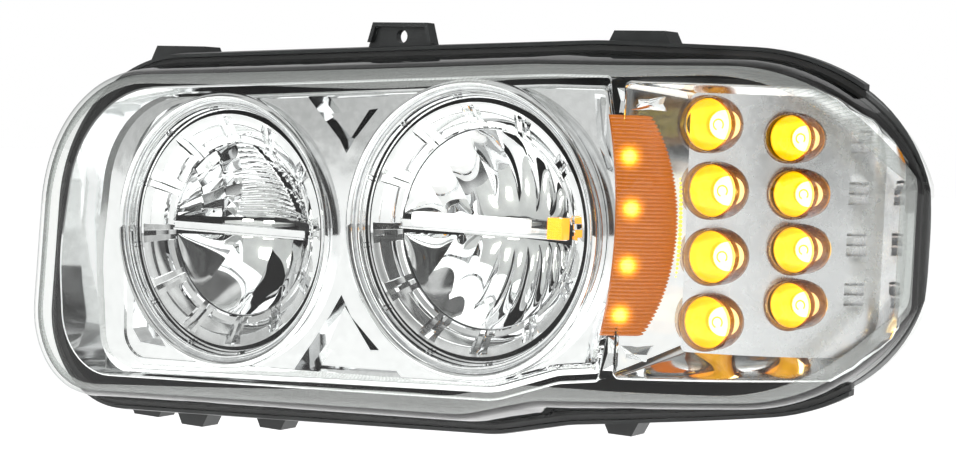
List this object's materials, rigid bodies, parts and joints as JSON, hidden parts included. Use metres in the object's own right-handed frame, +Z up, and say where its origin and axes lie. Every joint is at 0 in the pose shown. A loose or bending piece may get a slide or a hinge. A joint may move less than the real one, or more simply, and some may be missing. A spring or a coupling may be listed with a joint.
{
  "type": "headlight assembly",
  "caption": "Wide vehicle headlight with two round LED lamps that tilt for aiming, an amber corner marker and a wrap-round LED turn signal behind one clear lens.",
  "frame": {"origin": "centre of the hole in the top fixing tab", "axes": "+X outboard, towards the turn signal corner; +Y rearward, into the vehicle; +Z up"},
  "size_m": [0.6157, 0.179, 0.275],
  "materials": {
    "clear_lens": "clear polished polycarbonate with fine flutes round its edge",
    "seal_rubber": "matt black rubber",
    "black_housing": "fine-grained black moulding",
    "chrome": "bright vacuum-metallised",
    "satin_chrome": "satin vacuum-metallised",
    "reflector_chrome": "bright vacuum-metallised facets",
    "zinc_steel": "zinc plated",
    "white_diffuser": "milky light guide",
    "clear_optic": "clear moulded optic",
    "amber_lens": "ribbed transparent amber",
    "lit_amber_lens": "clear dome over a lit amber LED",
    "clear_collar": "clear moulded collar",
    "circuit_board": "white solder mask",
    "amber_led": "amber LED package",
    "white_led": "white LED package",
    "dark_aluminium": "black anodised",
    "cast_aluminium": "as cast",
    "dark_plastic": "fine-grained dark moulding",
    "adjuster_plastic": "natural nylon",
    "tin_pin": "tin plated"
  },
  "bodies": {
    "housing": {"bezel_screws": "zinc_steel", "breather_caps": "seal_rubber", "chrome_bezel": "chrome", "connector_pins": "tin_pin", "cover_screws": "zinc_steel", "driver_board": "circuit_board", "driver_case": "cast_aluminium", "driver_cover": "cast_aluminium", "high_pivot_brackets": "dark_plastic", "high_trim_ring": "chrome", "lens_seal": "seal_rubber", "low_pivot_brackets": "dark_plastic", "low_trim_ring": "chrome", "main_connector": "black_housing", "marker_led_board": "circuit_board", "marker_leds": "amber_led", "marker_lens": "amber_lens", "outer_lens": "clear_lens", "rear_housing": "black_housing", "turn_collars": "clear_collar", "turn_connector": "black_housing", "turn_led_boards": "circuit_board", "turn_leds": "amber_led", "turn_lens_1": "lit_amber_lens", "turn_lens_2": "lit_amber_lens", "turn_lens_3": "lit_amber_lens", "turn_lens_4": "lit_amber_lens", "turn_lens_5": "lit_amber_lens", "turn_lens_6": "lit_amber_lens", "turn_lens_7": "lit_amber_lens", "turn_lens_8": "lit_amber_lens", "turn_plate": "satin_chrome"},
    "low_module": {"amber_prism": "amber_lens", "guide_end": "clear_optic", "light_guide": "white_diffuser", "low_carrier": "dark_plastic", "low_castellated_ring": "chrome", "low_cross_bar": "dark_aluminium", "low_heat_sink": "cast_aluminium", "low_led_boards": "circuit_board", "low_leds": "white_led", "low_lower_reflector": "reflector_chrome", "low_sink_screws": "zinc_steel", "low_upper_reflector": "reflector_chrome"},
    "high_module": {"high_carrier": "dark_plastic", "high_castellated_ring": "chrome", "high_cross_bar": "dark_aluminium", "high_heat_sink": "cast_aluminium", "high_led_boards": "circuit_board", "high_leds": "white_led", "high_lower_reflector": "reflector_chrome", "high_sink_screws": "zinc_steel", "high_upper_reflector": "reflector_chrome"},
    "low_screw": {"low_adjuster_screw": "adjuster_plastic"},
    "low_nut": {"low_adjuster_nut": "adjuster_plastic"},
    "high_screw": {"high_adjuster_screw": "adjuster_plastic"},
    "high_nut": {"high_adjuster_nut": "adjuster_plastic"}
  },
  "joints": [
    {"name": "low_tilt", "type": "hinge", "parent": "housing", "child": "low_module", "pos_m": [0.081, -0.01, -0.115], "axis": [1, 0, 0], "range_deg": [-3, 3]},
    {"name": "low_nut_slide", "type": "slide", "parent": "housing", "child": "low_nut", "axis": [0, 1, 0], "range_m": [-0.0034, 0.0034]},
    {"name": "low_screw_turn", "type": "hinge", "parent": "housing", "child": "low_screw", "pos_m": [0.081, 0.085, -0.177], "axis": [0, 1, 0], "range_deg": [-245, 245]},
    {"name": "high_tilt", "type": "hinge", "parent": "housing", "child": "high_module", "pos_m": [-0.113, -0.004, -0.128], "axis": [1, 0, 0], "range_deg": [-3, 3]},
    {"name": "high_nut_slide", "type": "slide", "parent": "housing", "child": "high_nut", "axis": [0, 1, 0], "range_m": [-0.0034, 0.0034]},
    {"name": "high_screw_turn", "type": "hinge", "parent": "housing", "child": "high_screw", "pos_m": [-0.113, 0.085, -0.19], "axis": [0, 1, 0], "range_deg": [-245, 245]}
  ],
  "couplings": [
    {"joint": "low_nut_slide", "follows": "low_tilt", "m_per_rad": 0.062},
    {"joint": "low_screw_turn", "follows": "low_tilt", "ratio": 77.912},
    {"joint": "high_nut_slide", "follows": "high_tilt", "m_per_rad": 0.062},
    {"joint": "high_screw_turn", "follows": "high_tilt", "ratio": 77.912}
  ]
}
